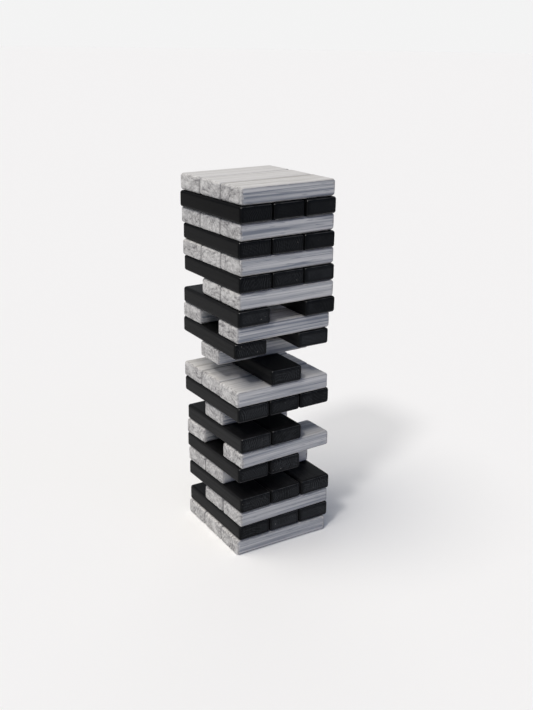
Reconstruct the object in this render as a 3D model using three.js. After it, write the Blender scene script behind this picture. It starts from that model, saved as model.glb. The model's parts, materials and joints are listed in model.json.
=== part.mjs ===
// Giant tumbling tower, part way through a game: loose wooden blocks of one size, three to a level, each
// level laid across the one below it. Players have drawn blocks out of the lower and middle levels.
// Millimetres, +Z up. Grey blocks lie along X and black blocks along Y. The front is the -Y side.
// The origin is the middle of the tower's footprint, on the ground.
import * as THREE from "three";

// One block. Three widths and two fitting gaps make its length, so that every level is square.
const BLOCKS_PER_LEVEL = 3;
const BLOCK_WIDTH = 84;
const BLOCK_HEIGHT = 37.9;
const FITTING_GAP = 1;
const BLOCK_LENGTH = BLOCKS_PER_LEVEL * BLOCK_WIDTH + (BLOCKS_PER_LEVEL - 1) * FITTING_GAP;

// Every edge is rounded over by a quarter-inch cutter. The ends are rounded a little less, so that a small
// blend is left at each corner of the flat end face.
const EDGE_ROUND = 6.35;
const CORNER_BLEND = 0.35;
const END_ROUND = EDGE_ROUND - CORNER_BLEND;
const FACETS_PER_ROUND = 3;

// How loosely the blocks lie: between neighbours in a level, and between a level and the next one.
const GREY_SIDE_GAP = 1;
const BLACK_SIDE_GAP = 1.6;
const RESTING_GAP = 0.3;

// The two stains, and how a level of each lies. The slots run across the way that its blocks point.
const STAINS = {
  grey: {
    color: 0xb4b3ae,
    roughness: 0.72,
    slots: ["near", "middle", "far"],
    heading: 90,
    gap: GREY_SIDE_GAP,
  },
  black: {
    color: 0x212121,
    roughness: 0.5,
    slots: ["left", "middle", "right"],
    heading: 0,
    gap: BLACK_SIDE_GAP,
  },
};

// The stack from the ground up: which slots still hold a block, the turn in degrees that hands have left
// the level with, and its shift along X and Y.
const LEVELS = [
  { stain: "grey", filled: ["near", "middle", "far"], turn: -2, shift: [1, -1] },
  { stain: "black", filled: ["left", "middle", "right"], turn: -1.2, shift: [6, -1] },
  { stain: "grey", filled: ["near", "middle"], turn: -0.5, shift: [4, -2] },
  { stain: "black", filled: ["left", "middle", "right"], turn: -0.2, shift: [3, -5] },
  { stain: "grey", filled: ["middle", "far"], turn: 0, shift: [3, -2] },
  { stain: "black", filled: ["left", "middle"], turn: -0.7, shift: [2, 1] },
  { stain: "grey", filled: ["near", "far"], turn: 1.6, shift: [3, 1] },
  { stain: "black", filled: ["left", "middle"], turn: 0.5, shift: [4, -1] },
  { stain: "grey", filled: ["middle"], turn: 0, shift: [4, 0] },
  { stain: "black", filled: ["left", "middle", "right"], turn: 0, shift: [-1, 2] },
  { stain: "grey", filled: ["near", "middle", "far"], turn: -0.2, shift: [-3, 2] },
  { stain: "black", filled: ["middle"], turn: -0.5, shift: [-1, -5] },
  { stain: "grey", filled: ["middle"], turn: -1, shift: [-3, 3] },
  { stain: "black", filled: ["left", "right"], turn: -1.7, shift: [-4, 3] },
  { stain: "grey", filled: ["near", "far"], turn: -0.1, shift: [-3, 2] },
  { stain: "black", filled: ["left", "right"], turn: -0.2, shift: [-2, -5] },
  { stain: "grey", filled: ["near", "middle"], turn: -0.9, shift: [0, -1] },
  { stain: "black", filled: ["left", "middle", "right"], turn: -0.1, shift: [0, -1] },
  { stain: "grey", filled: ["near", "middle", "far"], turn: 0.9, shift: [-2, 1] },
  { stain: "black", filled: ["left", "middle", "right"], turn: -0.4, shift: [-1, 0] },
  { stain: "grey", filled: ["near", "middle", "far"], turn: 1.1, shift: [-2, 4] },
  { stain: "black", filled: ["left", "middle", "right"], turn: 2, shift: [-5, 0] },
  { stain: "grey", filled: ["near", "middle", "far"], turn: 2, shift: [-2, 5] },
];

// Blocks that lie off their own slot: how far across, away from the near or left-hand side, and how far
// along their length, towards the left on a grey level and towards the back on a black one.
const NUDGED = {
  level_03_grey_middle: [4, 0],
  level_04_black_right: [2, 0],
  level_06_black_middle: [3, 0],
  level_07_grey_near: [0, 2],
  level_11_grey_near: [0, 2],
  level_14_black_right: [-3, 0],
  level_15_grey_near: [2, 2],
  level_16_black_left: [-3, 0],
  level_16_black_right: [4, 0],
  level_22_black_left: [-1, 0],
  level_22_black_right: [1, -3],
};
const IN_ITS_SLOT = [0, 0];

// The section across a block: a rectangle with its four corners rounded over.
function blockSection() {
  const section = new THREE.Shape();
  const cornerX = BLOCK_WIDTH / 2 - EDGE_ROUND;
  const cornerY = BLOCK_HEIGHT / 2 - EDGE_ROUND;
  const corners = [[cornerX, cornerY], [-cornerX, cornerY], [-cornerX, -cornerY], [cornerX, -cornerY]];
  corners.forEach(([x, y], turns) => {
    const start = turns * Math.PI / 2;
    section.absarc(x, y, EDGE_ROUND, start, start + Math.PI / 2);
  });
  return section;
}

// One block, centred on its own middle and pointing along Y: the section drawn out to its length, with
// both ends rounded over inside that length.
function blockGeometry() {
  const straightLength = BLOCK_LENGTH - 2 * END_ROUND;
  const geometry = new THREE.ExtrudeGeometry(blockSection(), {
    depth: straightLength,
    curveSegments: FACETS_PER_ROUND / 2, // an arc gets twice as many segments as this
    bevelEnabled: true,
    bevelSegments: FACETS_PER_ROUND,
    bevelThickness: END_ROUND,
    bevelSize: END_ROUND,
    bevelOffset: -END_ROUND,
  });
  geometry.translate(0, 0, -straightLength / 2);
  geometry.rotateX(Math.PI / 2);
  return geometry;
}

function stainedWood(stain) {
  return new THREE.MeshStandardMaterial({ color: stain.color, roughness: stain.roughness, metalness: 0 });
}

// One block in its slot. A level is built pointing along Y and then turned, so a slot is a place along X.
function slottedBlock(geometry, name, stain, slot) {
  const block = new THREE.Mesh(geometry, stainedWood(stain));
  const slotPitch = BLOCK_WIDTH + stain.gap;
  const fromMiddle = stain.slots.indexOf(slot) - (BLOCKS_PER_LEVEL - 1) / 2;
  const [across, along] = NUDGED[name] ?? IN_ITS_SLOT;
  block.name = name;
  block.position.set(fromMiddle * slotPitch + across, along, 0);
  return block;
}

// One level, as a group that carries the level's heading, its small turn and its shift.
function stackedLevel(geometry, level, index) {
  const stain = STAINS[level.stain];
  const number = String(index + 1).padStart(2, "0");
  const group = new THREE.Group();
  for (const slot of level.filled) {
    group.add(slottedBlock(geometry, `level_${number}_${level.stain}_${slot}`, stain, slot));
  }
  const [shiftX, shiftY] = level.shift;
  group.position.set(shiftX, shiftY, BLOCK_HEIGHT / 2 + index * (BLOCK_HEIGHT + RESTING_GAP));
  group.rotation.z = THREE.MathUtils.degToRad(stain.heading + level.turn);
  return group;
}

// The whole tower, moved so that the middle of its footprint is the origin.
function tumblingTower() {
  const tower = new THREE.Group();
  const geometry = blockGeometry();
  LEVELS.forEach((level, index) => tower.add(stackedLevel(geometry, level, index)));
  const middle = new THREE.Box3().setFromObject(tower, true).getCenter(new THREE.Vector3());
  tower.position.set(-middle.x, -middle.y, 0);
  return tower;
}

export default tumblingTower();
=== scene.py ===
"""The looks of a giant tumbling tower: 54 rounded wooden blocks in a grey wash and a black stain.

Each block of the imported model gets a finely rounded, slightly worn block that stands in its place.
Metres, +Z up, the front on the -Y side.
"""
import json
import math
import random

import bmesh
import bpy
import numpy as np
from bpy.props import FloatProperty, FloatVectorProperty, PointerProperty
from bpy.types import Operator, Panel, PropertyGroup
from mathutils import Matrix, Quaternion, Vector, noise

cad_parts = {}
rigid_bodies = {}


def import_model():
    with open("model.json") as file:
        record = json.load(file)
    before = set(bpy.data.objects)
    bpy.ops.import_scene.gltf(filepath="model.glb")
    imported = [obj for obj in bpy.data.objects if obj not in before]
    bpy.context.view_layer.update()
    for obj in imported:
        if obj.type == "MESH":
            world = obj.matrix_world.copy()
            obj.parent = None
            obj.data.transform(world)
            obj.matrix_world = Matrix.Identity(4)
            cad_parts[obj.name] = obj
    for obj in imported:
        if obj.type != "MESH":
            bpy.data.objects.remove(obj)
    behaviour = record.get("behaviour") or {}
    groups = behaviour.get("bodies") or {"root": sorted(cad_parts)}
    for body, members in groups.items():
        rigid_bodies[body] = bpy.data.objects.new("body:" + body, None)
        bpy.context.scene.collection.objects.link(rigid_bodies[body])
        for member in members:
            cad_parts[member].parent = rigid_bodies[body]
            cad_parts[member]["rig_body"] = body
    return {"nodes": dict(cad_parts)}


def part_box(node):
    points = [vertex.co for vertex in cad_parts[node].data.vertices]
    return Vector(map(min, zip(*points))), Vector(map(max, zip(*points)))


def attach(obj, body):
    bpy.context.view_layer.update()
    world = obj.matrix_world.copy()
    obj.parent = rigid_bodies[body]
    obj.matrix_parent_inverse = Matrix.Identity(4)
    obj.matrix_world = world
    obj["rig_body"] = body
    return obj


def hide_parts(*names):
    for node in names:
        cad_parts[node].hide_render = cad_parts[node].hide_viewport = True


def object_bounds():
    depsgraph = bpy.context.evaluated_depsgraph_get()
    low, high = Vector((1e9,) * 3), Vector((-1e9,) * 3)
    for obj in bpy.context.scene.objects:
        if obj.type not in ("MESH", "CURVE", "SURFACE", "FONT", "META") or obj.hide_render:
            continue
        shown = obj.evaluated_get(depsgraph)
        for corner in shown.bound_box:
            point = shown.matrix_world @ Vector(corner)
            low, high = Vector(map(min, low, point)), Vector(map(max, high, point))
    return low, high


bl_info = {
    "name": "Giant Tumbling Tower",
    "version": (1, 0, 0),
    "blender": (4, 5, 0),
    "location": "3D View > Sidebar > Tower",
    "description": "Worn wooden blocks for a giant tumbling tower, with a studio round them",
    "category": "Add Mesh",
}

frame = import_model()
CAD_BOX = [list(corner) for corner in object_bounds()]
TOWER_MIDDLE = (Vector(CAD_BOX[0]) + Vector(CAD_BOX[1])) / 2
MM = 0.001


# Sizes and colours that a user would change


class BlockSettings(PropertyGroup):
    """How a block's edges are cut and worn."""

    edge_round: FloatProperty(
        name="Edge round", description="Radius of the round-over along every edge",
        default=6.35 * MM, unit="LENGTH", precision=5)
    mesh_step: FloatProperty(
        name="Mesh step", description="Distance between a block's vertices on its flat faces",
        default=3.6 * MM, unit="LENGTH", precision=5)
    # How fast the blocks change from their look at the top of the tower to their look lower down: the
    # black gets lighter towards the floor, a painted light, and the grey narrow sides darker.
    lowness_rate: FloatProperty(
        name="Dustiness", description="How fast dust and dirt build up towards the ground", default=1.45)


class GreySettings(PropertyGroup):
    """The grey wash."""

    wear_depth: FloatProperty(
        name="Wear depth", description="How deep the handled edges are worn",
        default=0.8 * MM, unit="LENGTH", precision=5)
    chip_depth: FloatProperty(
        name="Chip depth", description="How deep the few chips in the end edges are",
        default=1.8 * MM, unit="LENGTH", precision=5)
    wash: FloatVectorProperty(
        name="Wash", description="Colour where the wash covers well", subtype="COLOR",
        default=(0.68, 0.67, 0.66))
    # The streak colour is also the colour of the painted shade on the narrow sides.
    streak_and_shade: FloatVectorProperty(
        name="Streak", description="Colour of the darker streaks along the grain", subtype="COLOR",
        default=(0.225, 0.243, 0.278))
    grain: FloatVectorProperty(
        name="Grain", description="Colour of the fine grain on the wide faces", subtype="COLOR",
        default=(0.30, 0.28, 0.25))
    # The vein colour is also the colour of the painted shade in the grooves.
    vein_and_groove_shade: FloatVectorProperty(
        name="Vein", description="Colour of the dark veins and pores in the end grain", subtype="COLOR",
        default=(0.15, 0.143, 0.15))
    # Also the colour of the painted highlight on the lit round-overs.
    rubbed_and_lit: FloatVectorProperty(
        name="Rubbed edge", description="Colour where hands have rubbed the edges pale", subtype="COLOR",
        default=(0.82, 0.81, 0.79))
    roughness: FloatProperty(
        name="Roughness", description="Roughness of the wash", default=0.78, subtype="FACTOR")


class BlackSettings(PropertyGroup):
    """The black stain."""

    wear_depth: FloatProperty(
        name="Wear depth", description="How deep the handled edges are worn",
        default=0.25 * MM, unit="LENGTH", precision=5)
    chip_depth: FloatProperty(
        name="Chip depth", description="How deep the few chips in the end edges are",
        default=0.4 * MM, unit="LENGTH", precision=5)
    stain: FloatVectorProperty(
        name="Stain", description="Colour of the stain", subtype="COLOR", default=(0.0015, 0.0015, 0.0018))
    thin: FloatVectorProperty(
        name="Thin stain", description="Colour where the grain shows through the stain", subtype="COLOR",
        default=(0.0205, 0.0208, 0.0218))
    end_stain: FloatVectorProperty(
        name="End stain", description="Colour of the stain on the sawn ends", subtype="COLOR",
        default=(0.0015, 0.0022, 0.0032))
    end_thin: FloatVectorProperty(
        name="Thin end stain", description="Colour where the saw marks show through the stain",
        subtype="COLOR", default=(0.0275, 0.0295, 0.0325))
    # Colour of the painted highlight along the rounded edges of the ends.
    edge_highlight: FloatVectorProperty(
        name="Scuff", description="Colour of the scuffed line along the edges of the ends",
        subtype="COLOR", default=(0.07, 0.07, 0.072))
    fleck: FloatVectorProperty(
        name="Fleck", description="Colour of the bare wood in a few tiny chips", subtype="COLOR",
        default=(0.3, 0.28, 0.25))
    roughness: FloatProperty(
        name="Roughness", description="Roughness of the stain", default=0.46, subtype="FACTOR")
    gloss: FloatProperty(
        name="Gloss", description="Strength of the stain's reflections", default=0.06, subtype="FACTOR")
    polish: FloatProperty(
        name="Polish", description="How shiny the handled corners are", default=0.9, subtype="FACTOR")


class StageSettings(PropertyGroup):
    """The camera, the lights and the floor."""

    azimuth: FloatProperty(
        name="Azimuth", description="How far round the tower the camera stands, from the front",
        default=math.radians(-33.55), subtype="ANGLE")
    elevation: FloatProperty(
        name="Elevation", description="How steeply the camera looks down",
        default=math.radians(19.62), subtype="ANGLE")
    roll: FloatProperty(
        name="Roll", description="How far the camera is tipped about its own line of sight",
        default=math.radians(0.8), subtype="ANGLE")
    distance: FloatProperty(
        name="Distance", description="From the camera to the point that it is aimed at",
        default=2.2007, unit="LENGTH")
    aim: FloatVectorProperty(
        name="Aim", description="The point that the camera is aimed at, from the tower's middle",
        default=(0.0204, -0.0136, 0.0103), subtype="TRANSLATION", unit="LENGTH")
    lens: FloatProperty(
        name="Lens", description="Focal length in millimetres, on a sensor 36 mm along its long side",
        default=46.27)
    key: FloatProperty(
        name="Key light", description="Strength of the soft light from overhead", default=2.0)
    lamp: FloatProperty(
        name="Lamp", description="Strength of the small light from high on the left", default=0.85)
    fill: FloatProperty(
        name="Fill light", description="Strength of the cool light from the front", default=0.12)
    back: FloatProperty(
        name="Back light", description="Strength of the low light from behind", default=0.3)
    sky: FloatProperty(
        name="Sky", description="Strength of the even light from all round", default=0.15)


# The blocks


# How many steps round off an edge.
ROUND_STEPS = 4

# How far from the middle of the stock a block may be sawn, across, along and up, and how far from the
# pith of its log, in metres.
SAWN_WITHIN = (1, 4, 1)
PITH_DISTANCE = (40 * MM, 110 * MM)

# Each block's own noise starts at a number up to WEAR_SEEDS, and its chips this much further on.
WEAR_SEEDS = 99
CHIP_SEED = 40

# The sizes of the worn patches and of the chips.
RUBBED_SIZE = 14 * MM
CHIP_SIZE = 9 * MM


def own_frame(node):
    """A block's placement, with its length along local Y, and its size across, along and up."""
    points = np.array([v.co for v in frame["nodes"][node].data.vertices])
    lowest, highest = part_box(node)
    middle = (lowest + highest) / 2
    plan = points[:, :2] - np.array(middle)[:2]
    _, ways = np.linalg.eigh(plan.T @ plan)
    along = Vector(ways[:, 1]) if ways[:, 1].sum() > 0 else -Vector(ways[:, 1])
    across = Vector((along.y, -along.x))
    length = 2 * (plan @ np.array(along)).max()
    width = 2 * (plan @ np.array(across)).max()
    heading = math.atan2(-along.x, along.y)
    placement = Matrix.Translation(middle) @ Matrix.Rotation(heading, 4, "Z")
    return placement, Vector((width, length, highest.z - lowest.z))


def stations(size, rounding, step):
    """Where the faces are cut across one axis: evenly on the flat, and by equal angles round the edges."""
    flat = size / 2 - rounding
    count = round(2 * flat / step)
    even = [flat * (2 * i / count - 1) for i in range(count + 1)]
    turns = [flat + rounding * math.tan(math.pi / 4 * i / ROUND_STEPS) for i in range(1, ROUND_STEPS)]
    return [-place for place in turns] + even + turns


def rounded_block(size, rounding, step):
    """A block centred on its own middle, every edge and corner of it rounded over."""
    shape = bmesh.new()
    bmesh.ops.create_cube(shape, size=1, matrix=Matrix.Diagonal((*size, 1)))
    for axis in range(3):
        normal = Vector((0, 0, 0))
        normal[axis] = 1
        for place in stations(size[axis], rounding, step):
            everything = shape.verts[:] + shape.edges[:] + shape.faces[:]
            bmesh.ops.bisect_plane(
                shape, geom=everything, dist=1e-7, plane_co=normal * place, plane_no=normal)
    core = [length / 2 - rounding for length in size]
    for vertex in shape.verts:
        inner = Vector(max(-limit, min(limit, value)) for value, limit in zip(vertex.co, core))
        vertex.co = inner + (vertex.co - inner).normalized() * rounding
    mesh = bpy.data.meshes.new("rounded_block")
    shape.to_mesh(mesh)
    shape.free()
    mesh.shade_smooth()
    return mesh


def shape_of(mesh):
    """A mesh's points and normals, as arrays."""
    count = len(mesh.vertices)
    points, normals = np.empty(count * 3, np.float32), np.empty(count * 3, np.float32)
    mesh.vertices.foreach_get("co", points)
    mesh.vertex_normals.foreach_get("vector", normals)
    return points.reshape(-1, 3), normals.reshape(-1, 3)


def step_between(values, low, high):
    """0 below low, 1 above high and a smooth step between them."""
    share = np.clip((values - low) / (high - low), 0, 1)
    return share * share * (3 - 2 * share)


def field(points, seed, size):
    """Smooth noise from about -1 to 1, with features of the given size, at each point."""
    shift = Vector((seed, -seed, seed / 2))
    return np.array([noise.noise(Vector(point) / size + shift) for point in points])


def add_attribute(mesh, name, values):
    """Stores one value, or one vector, for each of a mesh's points."""
    kind, entry = ("FLOAT_VECTOR", "vector") if values.ndim > 1 else ("FLOAT", "value")
    made = mesh.attributes.new(name, kind, "POINT")
    made.data.foreach_set(entry, values.astype(np.float32).ravel())


def roundness(normals):
    """0 on the flat faces, 1 along the middle of a rounded edge, and more on a corner."""
    return (1 - np.abs(normals).max(axis=1)) / (1 - math.sqrt(0.5))


def mark_zones(mesh, size, rounding):
    """Marks how far each point is from an end, the sides, the edges and each flat face's border."""
    points, normals = shape_of(mesh)
    to_border = np.abs(np.abs(points) - (np.array(size) / 2 - rounding)).min(axis=1)
    on_flat = step_between(np.abs(normals).max(axis=1), 0.9, 0.97)
    zones = {
        "from_end": size[1] / 2 - np.abs(points[:, 1]),
        "narrow_side": step_between(np.abs(normals[:, 0]), 0.4, 0.9),
        "wide_side": step_between(np.abs(normals[:, 2]), 0.7, 0.95),
        "lower_side": step_between(-normals[:, 2], 0.2, 0.5),
        "upright_edge": np.abs(normals[:, :2]).min(axis=1) * math.sqrt(2),
        "arris": roundness(normals),
        "border": on_flat * (1 - step_between(to_border, 0.2 * MM, 1.0 * MM)),
    }
    for name, values in zones.items():
        add_attribute(mesh, name, values)


def worn(points, normals, seed, stain):
    """The block's points after handling: its edges worn down a little, with a few chips at the ends."""
    arris = np.clip(roundness(normals), 0, 1)
    patches = step_between(field(points, seed, RUBBED_SIZE), 0.0, 0.6)
    chips = step_between(field(points, seed + CHIP_SEED, CHIP_SIZE), 0.3, 0.55)
    end_edges = arris * step_between(np.abs(normals[:, 1]), 0.1, 0.4)
    depth = np.maximum(arris * patches * stain.wear_depth, end_edges * chips * stain.chip_depth)
    return points - normals * depth[:, None]


def block(node, template, finish, lowness_rate, stain):
    """One wooden block in the place of a node, sawn from its own part of the log."""
    placement, _ = own_frame(node)
    mesh = template.copy()
    mesh.name = node + "_block"
    points, normals = shape_of(mesh)

    chance = random.Random(node)
    sawn_from = np.array([chance.uniform(-reach, reach) for reach in SAWN_WITHIN])
    tone = chance.uniform(0, 1)
    wear_seed = chance.uniform(0, WEAR_SEEDS)
    pith_way = chance.uniform(0, 2 * math.pi)
    pith_far = chance.uniform(*PITH_DISTANCE)

    from_top = (CAD_BOX[1][2] - placement.translation.z) / (CAD_BOX[1][2] - CAD_BOX[0][2])
    across = points[:, 0] - pith_far * math.cos(pith_way)
    up = points[:, 2] - pith_far * math.sin(pith_way)
    add_attribute(mesh, "wood_place", points + sawn_from)
    add_attribute(mesh, "tone", np.full(len(points), tone))
    # Lowness: 0 at the top of the tower, rising to 1 lower down. The materials paint light and shade by
    # it.
    add_attribute(mesh, "dust", np.full(len(points), min(1.0, from_top * lowness_rate)))
    add_attribute(mesh, "from_pith", np.hypot(across, up))

    handled = worn(points, normals, wear_seed, stain)
    mesh.vertices.foreach_set("co", handled.astype(np.float32).ravel())
    mesh.transform(placement)
    mesh.materials.append(finish)
    piece = bpy.data.objects.new(mesh.name, mesh)
    bpy.context.scene.collection.objects.link(piece)
    body = frame["nodes"][node]["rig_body"]
    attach(piece, body)
    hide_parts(node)


def blocks_of(colour, finish, settings, stain):
    """All the blocks of one colour, from one rounded block."""
    nodes = sorted(node for node in frame["nodes"] if colour in node)
    _, size = own_frame(nodes[0])
    template = rounded_block(size, settings.edge_round, settings.mesh_step)
    mark_zones(template, size, settings.edge_round)
    for node in nodes:
        block(node, template, finish, settings.lowness_rate, stain)
    bpy.data.meshes.remove(template)


# Materials


# How far a growth ring wanders from its circle, and over what distances across, along and up.
RING_WANDER = 14 * MM
RING_WANDER_SIZE = (26 * MM, 0.5, 26 * MM)

# The saw's marks: from one to the next, how far they lean, and how many radians the blade bends them by.
SAW_PITCH = 5 * MM
SAW_LEAN = 3.0
SAW_BEND = 34.0
SAW_BEND_SIZE = (40 * MM, 40 * MM, 40 * MM)


def found(sockets, key):
    """A node's socket by its number, its name or its identifier."""
    if isinstance(key, int):
        return sockets[key]
    return next(s for s in sockets if key in (s.name, s.identifier) and s.enabled)


class Wire:
    """A socket that gives a value. Arithmetic on it adds Math nodes."""

    def __init__(self, paint, socket):
        self.paint = paint
        self.socket = socket

    def __add__(self, other):
        return self.paint.maths("ADD", self, other)

    def __sub__(self, other):
        return self.paint.maths("SUBTRACT", self, other)

    def __rsub__(self, other):
        return self.paint.maths("SUBTRACT", other, self)

    def __mul__(self, other):
        return self.paint.maths("MULTIPLY", self, other)

    __radd__ = __add__
    __rmul__ = __mul__


class Paint:
    """The nodes of a material or a world."""

    def __init__(self, owner):
        self.owner = owner
        owner.use_nodes = True
        self.tree = owner.node_tree
        self.tree.nodes.clear()

    def node(self, kind, settings=None, sockets=None, output=0):
        """Adds a node: its settings first, then its sockets' values or links. Gives one of its outputs."""
        made = self.tree.nodes.new(kind)
        for key, value in (settings or {}).items():
            setattr(made, key, value)
        for key, value in (sockets or {}).items():
            socket = found(made.inputs, key)
            if isinstance(value, Wire):
                self.tree.links.new(value.socket, socket)
            else:
                socket.default_value = value
        return None if output is None else Wire(self, found(made.outputs, output))

    def maths(self, operation, *values):
        """A Math node on these values."""
        return self.node("ShaderNodeMath", {"operation": operation}, dict(enumerate(values)))

    def attribute(self, name, output="Fac"):
        """What a block's points carry under this name."""
        return self.node("ShaderNodeAttribute", {"attribute_name": name}, output=output)

    def grain(self, place, size, detail=2.0, roughness=0.5, distortion=0.0):
        """Noise from 0 to 1 whose features are as large as size: across, along and up, in metres."""
        closeness = [1 / length for length in size]
        scaled = self.node("ShaderNodeVectorMath", {"operation": "MULTIPLY"}, {0: place, 1: closeness})
        return self.node("ShaderNodeTexNoise", None, {
            "Vector": scaled,
            "Scale": 1.0,
            "Detail": detail,
            "Roughness": roughness,
            "Distortion": distortion,
        })

    def between(self, value, low, high):
        """0 below low, 1 above high and a smooth step between them."""
        return self.node(
            "ShaderNodeMapRange", {"interpolation_type": "SMOOTHSTEP"}, {0: value, 1: low, 2: high})

    def ridge(self, value, width):
        """1 along the lines where the value is a half, fading to 0 at this difference from it."""
        away = self.maths("ABSOLUTE", value - 0.5)
        return 1 - self.between(away, 0.0, width)

    def layers(self, *layers):
        """Layers added up. Each is a pair: the layer and its weight."""
        return sum(layer * weight for layer, weight in layers)

    def rings(self, place, spacing):
        """1 along the dark line of each growth ring, which wanders a little from a true circle."""
        wander = self.grain(place, RING_WANDER_SIZE) * RING_WANDER
        turns = (self.attribute("from_pith") + wander) * (2 * math.pi / spacing)
        return self.between(self.maths("SINE", turns), 0.2, 1.0)

    def saw_marks(self, place, tone):
        """Waves from 0 to 1 across an end. They lean by the block's tone, and the blade bends them."""
        across = self.node("ShaderNodeSeparateXYZ", None, {0: place}, output="X")
        up = self.node("ShaderNodeSeparateXYZ", None, {0: place}, output="Z")
        leaning = across + up * ((tone - 0.5) * SAW_LEAN)
        bend = self.grain(place, SAW_BEND_SIZE, detail=1.0) * SAW_BEND
        return self.maths("SINE", leaning * (2 * math.pi / SAW_PITCH) + bend) * 0.5 + 0.5

    def blend(self, factor, first, second):
        """From the first value to the second as the factor goes from 0 to 1."""
        return first + factor * (second - first)

    def mix(self, factor, first, second):
        """From the first colour to the second as the factor goes from 0 to 1."""
        return self.node(
            "ShaderNodeMix", {"data_type": "RGBA"},
            {"Factor_Float": factor, "A_Color": first, "B_Color": second}, output="Result_Color")

    def bump(self, height, depth):
        """A normal from a height between 0 and 1 that stands for this depth in metres."""
        return self.node("ShaderNodeBump", None, {"Height": height, "Distance": depth})

    def finish(self, sockets):
        """The material's shader and output, with these sockets set."""
        shader = self.node("ShaderNodeBsdfPrincipled", None, sockets)
        self.node("ShaderNodeOutputMaterial", None, {"Surface": shader}, output=None)
        return self.owner


def opaque(colour):
    """A colour with an alpha of 1, as a colour socket takes it."""
    return (*colour, 1.0)


# The grey wash.
# How far the end grain's ragged border reaches along the block.
RAGGED_DEPTH = 24 * MM
# How strongly the streaks show on the wide faces and the narrow sides.
FACE_STREAKS = (0.55, 1.0)
# How strongly they show on the least and the most streaked block.
BLOCK_STREAKS = (0.7, 1.25)
# How much darker the narrow sides are at the top of the tower, a painted shade in the streak colour, and
# how much darker still they get towards the ground.
SIDE_SHADE = 0.225
SIDE_LOWER_DARKENING = 0.08
# From the lightest to the darkest block, along the block and on its ends.
ALONG_TONES = 0.08
END_TONES = 0.1
# How strongly painted shade darkens the grooves between neighbours, and how strongly the edges are made
# pale, partly worn and partly a painted highlight where their round-overs catch the light.
GROOVE_SHADE = 0.4
RUBBING_AND_LIGHT = 0.4
# How deep the grain stands, and how much the wash reflects.
GREY_RELIEF = 0.8 * MM
GREY_GLOSS = 0.25


def grey_streaks(paint, place):
    """How dark the grey wash's grain is along a block, and the height of that grain."""
    bands = paint.grain(place, (15 * MM, 0.8, 11 * MM))
    lines = paint.grain(place, (11 * MM, 0.5, 8.5 * MM), detail=1.0, roughness=0.4, distortion=0.15)
    dashes = paint.grain(place, (3.2 * MM, 0.05, 2.8 * MM))
    streaks = paint.grain(place, (3.4 * MM, 0.3, 3.0 * MM), detail=3.0, roughness=0.6)
    fibres = paint.grain(place, (1.2 * MM, 0.05, 1.1 * MM), detail=3.0, roughness=0.6)
    dark = paint.layers(
        (paint.between(bands, 0.42, 0.64), 0.42),
        (paint.ridge(lines, 0.045), 0.5),
        (paint.between(dashes, 0.62, 0.72), 0.5),
        (paint.rings(place, 9 * MM) * paint.between(streaks, 0.3, 0.6), 0.35),
        (streaks - 0.5, 0.6),
        (fibres - 0.5, 0.25))
    return dark, paint.layers((streaks, 0.5), (fibres, 0.5))


def grey_end_grain(paint, place):
    """How dark the grey wash is on a sawn end: mottled, veined, ringed and cracked."""
    mottle = paint.grain(place, (28 * MM, 28 * MM, 16 * MM), detail=3.0, roughness=0.55, distortion=0.8)
    veins = paint.grain(place, (50 * MM, 50 * MM, 30 * MM), roughness=0.55, distortion=1.2)
    cracks = paint.grain(place, (36 * MM, 36 * MM, 22 * MM), roughness=0.55, distortion=1.8)
    pores = paint.grain(place, (9 * MM, 9 * MM, 6 * MM))
    return paint.layers(
        (paint.between(mottle, 0.36, 0.7), 0.26),
        (paint.ridge(veins, 0.1), 0.26),
        (paint.rings(place, 8 * MM) * paint.between(mottle, 0.35, 0.6), 0.26),
        (paint.ridge(cracks, 0.07), 0.24),
        (pores - 0.5, 0.65)) + 0.07


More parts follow.
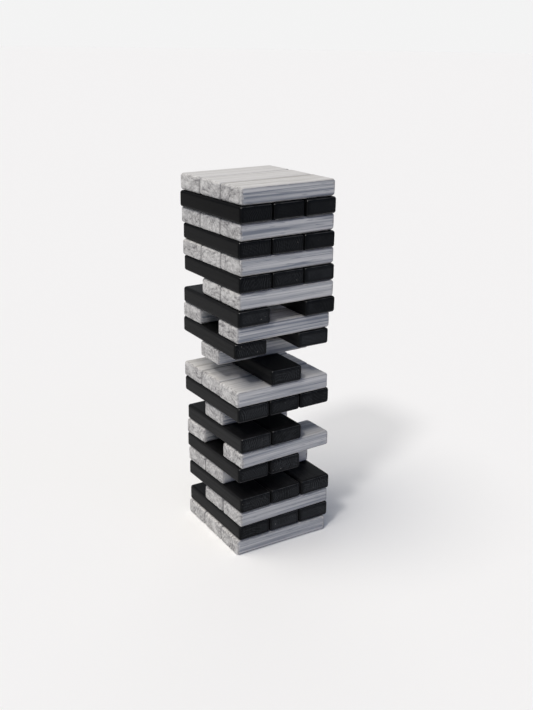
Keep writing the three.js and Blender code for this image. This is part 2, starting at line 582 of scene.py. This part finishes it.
def grey_wash(settings):
    """A worn grey-white wash: streaked along the block and veined on its ends."""
    paint = Paint(bpy.data.materials.new("grey_wash"))
    place = paint.attribute("wood_place", "Vector")
    narrow_side = paint.attribute("narrow_side")
    arris = paint.attribute("arris")
    tone = paint.attribute("tone")
    from_end = paint.attribute("from_end")
    ragged = paint.grain(place, (7 * MM, 14 * MM, 7 * MM), roughness=0.6)
    end = 1 - paint.between(from_end + (ragged - 0.5) * RAGGED_DEPTH, 3 * MM, 6 * MM)

    streaks_and_shade, streak_height = grey_streaks(paint, place)
    streaks_and_shade = streaks_and_shade * paint.blend(narrow_side, *FACE_STREAKS) * paint.blend(tone, *BLOCK_STREAKS)
    # Painted shade: the narrow sides are darkened towards the cool streak colour, more so lower down.
    streaks_and_shade = streaks_and_shade + narrow_side * (paint.attribute("dust") * SIDE_LOWER_DARKENING + SIDE_SHADE)
    streak_and_shade_colour = paint.mix(narrow_side, opaque(settings.grain), opaque(settings.streak_and_shade))
    along = paint.mix(streaks_and_shade + (tone - 0.5) * ALONG_TONES, opaque(settings.wash), streak_and_shade_colour)

    end_grain = grey_end_grain(paint, place)
    across = paint.mix(end_grain + (tone - 0.5) * END_TONES, opaque(settings.wash), opaque(settings.vein_and_groove_shade))
    colour = paint.mix(end, along, across)

    # Painted shade in the grooves between neighbouring blocks, in the vein colour.
    open_edge = paint.between(from_end, 1 * MM, 7 * MM) * (1 - paint.between(arris, 0.1, 0.5))
    groove_shade = narrow_side * (1 - open_edge)
    patches = paint.between(paint.grain(place, (8 * MM, 12 * MM, 8 * MM)), 0.48, 0.6)
    # Pale edges: partly wash worn pale by handling, partly a painted highlight on the round-overs that
    # catch the light.
    rubbed_and_lit = patches * paint.between(arris, 0.3, 0.9) * (1 - groove_shade)
    colour = paint.mix(groove_shade * GROOVE_SHADE, colour, opaque(settings.vein_and_groove_shade))
    colour = paint.mix(rubbed_and_lit * RUBBING_AND_LIGHT, colour, opaque(settings.rubbed_and_lit))
    height = 1 - paint.blend(end, streak_height, end_grain)
    return paint.finish({
        "Base Color": colour,
        "Roughness": settings.roughness,
        "Specular IOR Level": GREY_GLOSS,
        "Normal": paint.bump(height, GREY_RELIEF),
    })


# The black stain. In each pair, the first is for the sides and the second for the ends.
# How much of the thin colour the deepest grain shows, and how much more the highest.
LEAST_SHOWN = (0.4, 0.15)
MORE_SHOWN = (0.7, 1.2)
# What is left of that at the top of the tower. Lower down more of it shows: painted light that makes the
# black lighter towards the floor.
TOPMOST_SHARE = (0.02, 0.17)
# How strongly painted shade darkens the rounded edges beside the highlight line and the border of each
# flat face.
EDGE_SHADING = (0.1, 0.75)
# From the darkest to the lightest block.
BLACK_TONES = 0.25
# How much of the thin colour upright edges lose as painted shade, how much long edges gain as painted
# light, and how much the wide faces keep under their painted shade.
UPRIGHT_SHADE = 0.6
LONG_EDGE_LIGHT = 0.2
WIDE_FACE_SHADE = 0.45
# How strongly a painted highlight lines the middle of the end edges' round-overs, from the weakest to the
# strongest patch.
HIGHLIGHTING = (0.2, 0.9)
# How much more painted highlight the lower ones get, standing in for light thrown up from below, and what
# is left of it at the upright ones.
LOWER_HIGHLIGHTING = 0.7
UPRIGHT_HIGHLIGHTING = 0.1
# How strongly bare wood shows in the flecks.
FLECKING = 0.8
# How deep the grain stands, and how rough the polish on the corners is.
BLACK_RELIEF = 0.5 * MM
POLISH_ROUGHNESS = 0.22


def black_stain(settings):
    """A satin black stain: fine grain along the block and saw marks across its ends."""
    paint = Paint(bpy.data.materials.new("black_stain"))
    place = paint.attribute("wood_place", "Vector")
    arris = paint.attribute("arris")
    tone = paint.attribute("tone")
    end = 1 - paint.between(paint.attribute("from_end"), 1 * MM, 4 * MM)
    upright_edge = paint.between(paint.attribute("upright_edge"), 0.2, 0.8)
    lower_edge = paint.attribute("lower_side") * paint.between(arris, 0.1, 0.3)

    bands = paint.grain(place, (9 * MM, 0.5, 7 * MM))
    fibres = paint.grain(place, (2.0 * MM, 0.07, 1.8 * MM), detail=4.0, roughness=0.65)
    rough_end = paint.grain(place, (5 * MM, 5 * MM, 7 * MM), detail=3.0, roughness=0.6)
    marked = paint.between(paint.grain(place, (35 * MM, 35 * MM, 35 * MM), detail=0.0), 0.4, 0.6)
    saw_marks = paint.saw_marks(place, tone)
    end_grain = paint.layers(
        (rough_end, 0.45),
        (saw_marks - 0.5, marked * 0.42 + 0.1),
        (paint.rings(place, 7 * MM), 0.12)) + 0.24
    grain = paint.blend(end, paint.layers((bands, 0.5), (fibres, 0.5)), end_grain)
    raised = paint.between(grain + (tone - 0.5) * BLACK_TONES, 0.33, 0.67)

    # Painted highlight: a light line along the middle of each rounded edge of the ends, wider on the lower
    # edges.
    highlight_line = paint.between(arris + lower_edge * 0.2, 0.5, 0.95)
    # Painted shade: dark bands on the round-overs either side of the highlight line, and along each flat
    # face's border.
    shade_band = paint.between(arris, 0.05, 0.25) * (1 - highlight_line)
    edge_shade = paint.maths("MAXIMUM", shade_band, paint.attribute("border")) * paint.blend(end, *EDGE_SHADING)
    lit_long_edge = paint.between(arris, 0.1, 0.5) * (1 - end) * (1 - upright_edge)
    shown = raised * paint.blend(end, *MORE_SHOWN) + paint.blend(end, *LEAST_SHOWN)
    # Painted shade: the shade bands and the upright edges are darkened.
    shown = shown * (1 - edge_shade) * (1 - upright_edge * UPRIGHT_SHADE)
    # Painted light: lower blocks show more of the thin colour, so the black is lighter towards the floor.
    shown = shown * paint.blend(paint.attribute("dust"), paint.blend(end, *TOPMOST_SHARE), 1.0)
    # Painted light on the long edges' round-overs.
    shown = shown + lit_long_edge * LONG_EDGE_LIGHT
    # Painted shade: the wide faces, top and bottom, are darker than the sides.
    shown = shown * paint.blend(paint.attribute("wide_side"), 1.0, WIDE_FACE_SHADE)

    full = paint.mix(end, opaque(settings.stain), opaque(settings.end_stain))
    thin = paint.mix(end, opaque(settings.thin), opaque(settings.end_thin))
    flecks = paint.between(paint.grain(place, (5 * MM, 5 * MM, 5 * MM), detail=1.0), 0.78, 0.81)
    # Patches where the painted highlight is stronger. Below, it grows on the lower edges as painted light
    # from below and fades at the upright ones.
    handled = paint.between(paint.grain(place, (18 * MM, 40 * MM, 18 * MM)), 0.35, 0.6)
    highlighted = (paint.blend(handled, *HIGHLIGHTING) + lower_edge * LOWER_HIGHLIGHTING) * end
    highlighted = highlighted * paint.blend(upright_edge, 1.0, UPRIGHT_HIGHLIGHTING)
    colour = paint.mix(shown, full, thin)
    colour = paint.mix(flecks * end * FLECKING, colour, opaque(settings.fleck))
    # The painted highlight line, in the highlight colour.
    colour = paint.mix(highlight_line * highlighted, colour, opaque(settings.edge_highlight))

    height = paint.blend(
        end,
        paint.layers((fibres, 0.6), (bands, 0.4)),
        paint.layers((saw_marks * marked, 0.4), (rough_end, 0.6)))
    return paint.finish({
        "Base Color": colour,
        "Roughness": settings.roughness,
        "Specular IOR Level": settings.gloss,
        "Coat Weight": paint.between(arris, 1.0, 1.25) * settings.polish,
        "Coat Roughness": POLISH_ROUGHNESS,
        "Normal": paint.bump(height, BLACK_RELIEF),
    })


def pale_floor():
    """Plain matt white."""
    paint = Paint(bpy.data.materials.new("pale_floor"))
    return paint.finish({"Base Color": FLOOR_COLOUR, "Roughness": 1.0, "Specular IOR Level": 0.0})


# The stage


FLOOR_RADIUS = 60.0
FLOOR_SEGMENTS = 96
FLOOR_COLOUR = (0.93, 0.93, 0.93, 1)
SKY_COLOUR = (0.8, 0.96, 1.25, 1)
BACKDROP_COLOUR = (0.9, 0.9, 0.9, 1)

# How far from the tower's middle the lights stand. It makes no difference to how they shine.
LIGHT_DISTANCE = 3.0

# For each light's setting: where it shines from, how wide it is in degrees, and its colour.
LIGHTS = {
    "key": ((-0.3, 0.05, 0.95), 40, (1.0, 0.95, 0.87)),
    "lamp": ((-0.57, -0.31, 0.76), 8, (1.0, 0.97, 0.94)),
    "fill": ((0.25, -0.92, 0.3), 60, (0.5, 0.6, 1.6)),
    "back": ((0.5, 0.8, 0.33), 50, (1.0, 1.0, 1.0)),
}


def make_floor():
    """A wide round floor that the tower stands on."""
    shape = bmesh.new()
    bmesh.ops.create_circle(shape, cap_ends=True, radius=FLOOR_RADIUS, segments=FLOOR_SEGMENTS)
    mesh = bpy.data.meshes.new("floor")
    shape.to_mesh(mesh)
    shape.free()
    mesh.materials.append(pale_floor())
    floor = bpy.data.objects.new("floor", mesh)
    bpy.context.scene.collection.objects.link(floor)


def soft_light(name, source, width, strength, colour):
    """An even light from the direction of source, as soft as a panel this wide in degrees."""
    lamp = bpy.data.lights.new(name, "SUN")
    lamp.angle = math.radians(width)
    lamp.energy = strength
    lamp.color = colour
    light = bpy.data.objects.new(name, lamp)
    light.location = TOWER_MIDDLE + Vector(source) * LIGHT_DISTANCE
    light.rotation_mode = "QUATERNION"
    light.rotation_quaternion = Vector(source).to_track_quat("Z", "Y")
    bpy.context.scene.collection.objects.link(light)


def make_sky(strength):
    """Even, slightly cool light from all round. The camera sees a pale backdrop in its place."""
    world = bpy.data.worlds.new("studio")
    bpy.context.scene.world = world
    paint = Paint(world)
    light = paint.node("ShaderNodeBackground", None, {"Color": SKY_COLOUR, "Strength": strength})
    backdrop = paint.node("ShaderNodeBackground", None, {"Color": BACKDROP_COLOUR})
    seen = paint.node("ShaderNodeLightPath", output="Is Camera Ray")
    shown = paint.node("ShaderNodeMixShader", None, {0: seen, 1: light, 2: backdrop})
    paint.node("ShaderNodeOutputWorld", None, {"Surface": shown}, output=None)


def make_camera(settings):
    """The camera, at its azimuth, elevation and distance from the point that it is aimed at."""
    level = math.cos(settings.elevation)
    back = Vector((
        math.sin(settings.azimuth) * level,
        -math.cos(settings.azimuth) * level,
        math.sin(settings.elevation)))
    data = bpy.data.cameras.new("camera")
    data.lens = settings.lens
    camera = bpy.data.objects.new("camera", data)
    camera.location = TOWER_MIDDLE + Vector(settings.aim) + back * settings.distance
    camera.rotation_mode = "QUATERNION"
    camera.rotation_quaternion = back.to_track_quat("Z", "Y") @ Quaternion((0, 0, 1), settings.roll)
    bpy.context.scene.collection.objects.link(camera)
    bpy.context.scene.camera = camera


# Operators and the panel


class TOWER_OT_grey_blocks(Operator):
    """Make the grey blocks"""

    bl_idname = "tower.grey_blocks"
    bl_label = "Grey Blocks"

    def execute(self, context):
        scene = context.scene
        finish = grey_wash(scene.tower_grey)
        blocks_of("grey", finish, scene.tower_blocks, scene.tower_grey)
        return {"FINISHED"}


class TOWER_OT_black_blocks(Operator):
    """Make the black blocks"""

    bl_idname = "tower.black_blocks"
    bl_label = "Black Blocks"

    def execute(self, context):
        scene = context.scene
        finish = black_stain(scene.tower_black)
        blocks_of("black", finish, scene.tower_blocks, scene.tower_black)
        return {"FINISHED"}


class TOWER_OT_stage(Operator):
    """Make the floor, the lights and the camera"""

    bl_idname = "tower.stage"
    bl_label = "Stage"

    def execute(self, context):
        settings = context.scene.tower_stage
        make_camera(settings)
        make_floor()
        make_sky(settings.sky)
        for name, (source, width, colour) in LIGHTS.items():
            soft_light(name + "_light", source, width, getattr(settings, name), colour)
        context.scene.view_settings.view_transform = "Standard"
        return {"FINISHED"}


class TOWER_PT_panel(Panel):
    """The tower's tools and settings"""

    bl_idname = "TOWER_PT_panel"
    bl_label = "Tumbling Tower"
    bl_space_type = "VIEW_3D"
    bl_region_type = "UI"
    bl_category = "Tower"

    def draw(self, context):
        for operator in OPERATORS:
            self.layout.operator(operator.bl_idname)
        for name, group in SETTINGS.items():
            box = self.layout.box()
            for setting in group.__annotations__:
                box.prop(getattr(context.scene, name), setting)


OPERATORS = (TOWER_OT_stage, TOWER_OT_grey_blocks, TOWER_OT_black_blocks)
SETTINGS = {
    "tower_blocks": BlockSettings,
    "tower_grey": GreySettings,
    "tower_black": BlackSettings,
    "tower_stage": StageSettings,
}


def register():
    for group in SETTINGS.values():
        bpy.utils.register_class(group)
    for operator in OPERATORS:
        bpy.utils.register_class(operator)
    bpy.utils.register_class(TOWER_PT_panel)
    for name, group in SETTINGS.items():
        setattr(bpy.types.Scene, name, PointerProperty(type=group))


def unregister():
    for name in SETTINGS:
        delattr(bpy.types.Scene, name)
    bpy.utils.unregister_class(TOWER_PT_panel)
    for operator in reversed(OPERATORS):
        bpy.utils.unregister_class(operator)
    for group in reversed(SETTINGS.values()):
        bpy.utils.unregister_class(group)


def main():
    register()
    bpy.ops.tower.stage()
    bpy.ops.tower.grey_blocks()
    bpy.ops.tower.black_blocks()


if __name__ == "__main__":
    main()
